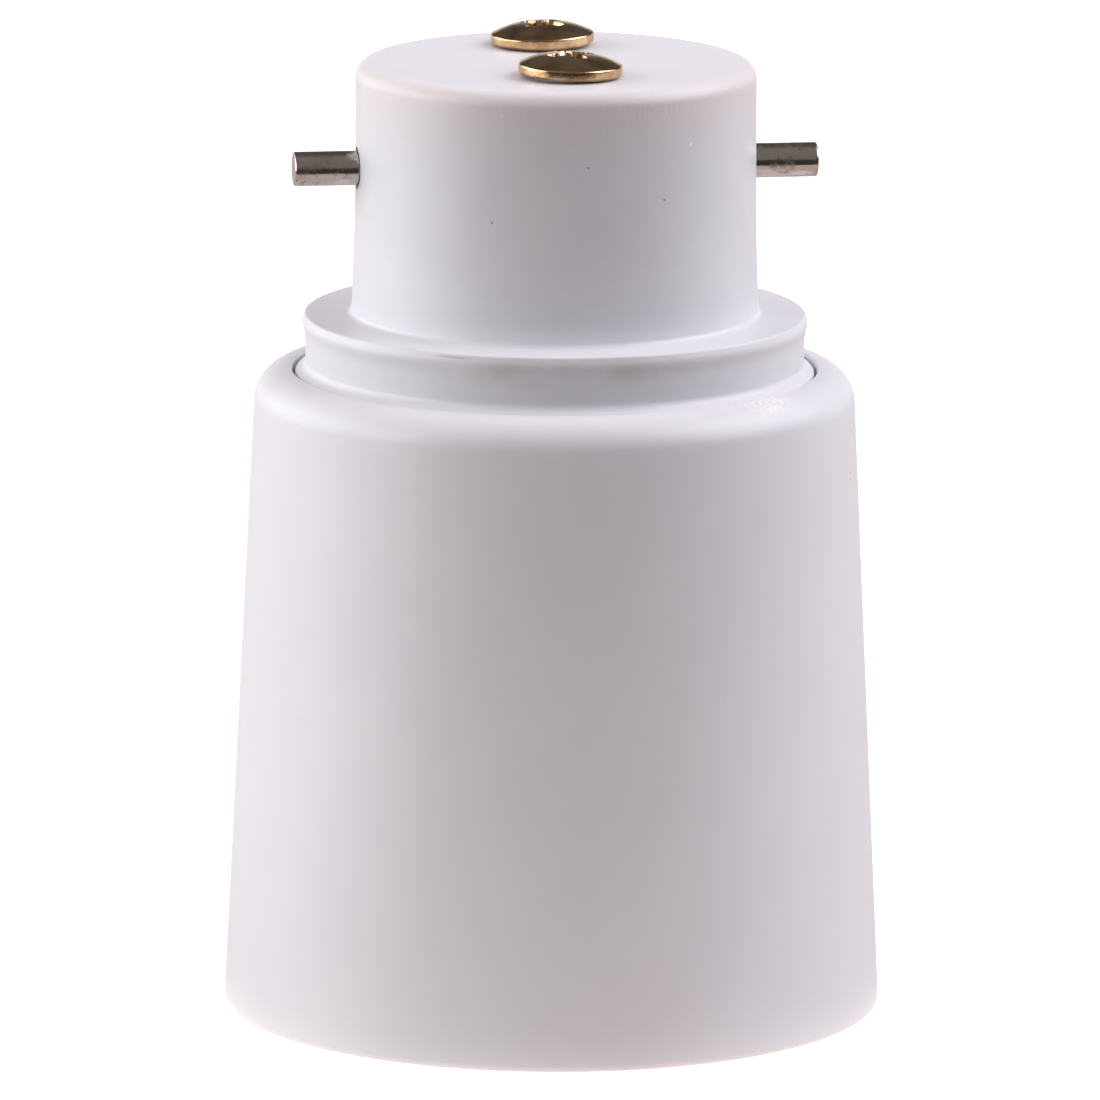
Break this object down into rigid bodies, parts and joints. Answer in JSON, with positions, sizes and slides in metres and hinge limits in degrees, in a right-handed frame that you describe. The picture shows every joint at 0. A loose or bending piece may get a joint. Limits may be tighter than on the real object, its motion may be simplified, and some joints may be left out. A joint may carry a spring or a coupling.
{
  "type": "lamp socket adapter",
  "caption": "Adapter with a two-pin bayonet cap on top and a screw lamp socket inside a tapered skirt below.",
  "frame": {"origin": "middle of the skirt's rim, in the plane the adapter stands on", "axes": "+Z along the common axis of socket and cap, towards the contact screws; the side pins lie along X and the contact screws along Y, the front screw at -Y"},
  "size_m": [0.0362, 0.0362, 0.054],
  "materials": {
    "skirt_plastic": "satin white moulding",
    "cap_plastic": "satin white moulding",
    "floor_insulator": "matt pale insulator",
    "shell_metal": "nickel-plated rolled sheet",
    "spring_bronze": "spring bronze strip",
    "screw_brass": "bright brass-plated",
    "strip_brass": "brass strip",
    "pin_nickel": "nickel-plated, drawn wire",
    "rivet_brass": "headed brass"
  },
  "bodies": {
    "adapter": {"outer_skirt": "skirt_plastic", "cap_body": "cap_plastic", "socket_floor": "floor_insulator", "threaded_shell": "shell_metal", "contact_screw_front": "screw_brass", "contact_screw_rear": "screw_brass", "contact_nut_front": "strip_brass", "contact_nut_rear": "strip_brass", "contact_strip_front": "strip_brass", "contact_strip_rear": "strip_brass", "contact_rivet": "rivet_brass", "shell_rivet": "rivet_brass", "bayonet_pin_left": "pin_nickel", "bayonet_pin_right": "pin_nickel"},
    "contact_leaf": {"centre_contact": "spring_bronze"}
  },
  "joints": [
    {"name": "contact_press", "type": "hinge", "parent": "adapter", "child": "contact_leaf", "pos_m": [0, -0.0043, 0.0283], "axis": [1, 0, 0], "range_deg": [0, 11], "stiffness_Nm_per_rad": 0.08, "deforming": ["centre_contact"]}
  ]
}
